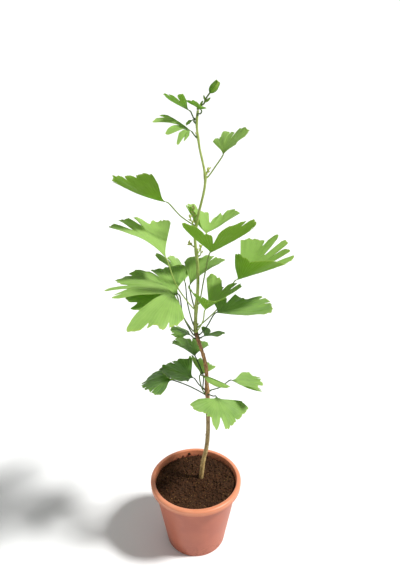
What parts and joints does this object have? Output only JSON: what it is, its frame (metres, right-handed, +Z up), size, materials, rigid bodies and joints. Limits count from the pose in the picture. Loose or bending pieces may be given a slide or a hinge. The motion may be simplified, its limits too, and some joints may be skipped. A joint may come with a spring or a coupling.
{
  "type": "potted ginkgo sapling",
  "caption": "Young ginkgo tree with fan-shaped, lobed leaves on a slender upright stem, growing in a tapered round nursery pot filled with dark potting soil.",
  "frame": {"origin": "centre of the pot's flat underside", "axes": "+Z up along the pot's axis and the way the stem grows; +X to the viewer's right; -Y towards the viewer"},
  "size_m": [0.2443, 0.2353, 0.6882],
  "materials": {
    "pot": "satin",
    "soil": "matte",
    "bark": "matte",
    "shoot": "satin",
    "twig": "satin",
    "leaf": "satin",
    "young_leaf": "satin"
  },
  "bodies": {
    "root": {"pot": "pot", "potting_soil": "soil", "woody_stem": "bark", "green_shoot": "shoot", "twig_left_lower": "twig", "twig_right_lower": "twig", "twig_left_upper": "twig", "twig_left_upper_fork": "twig", "twig_right_upper": "twig", "leaf_low_front": "leaf", "leaf_low_right": "leaf", "leaf_low_left": "leaf", "leaf_low_rear": "leaf", "leaf_low_fork": "leaf", "leaf_mid_rear": "leaf", "leaf_whorl_left": "leaf", "leaf_whorl_right": "leaf", "leaf_big_left": "leaf", "leaf_dark_left": "leaf", "leaf_front_cup": "leaf", "leaf_dark_cup": "leaf", "leaf_big_right": "leaf", "leaf_far_left": "leaf", "leaf_behind_shoot": "leaf", "leaf_upper_left": "leaf", "leaf_front_open": "leaf", "leaf_pale_rear": "leaf", "leaf_top_left": "leaf", "leaf_top_right": "leaf", "leaf_top_front": "leaf", "leaf_young_left": "young_leaf", "leaf_young_low": "young_leaf", "leaf_young_top": "young_leaf", "leaf_rolled_tip": "young_leaf"}
  },
  "joints": []
}
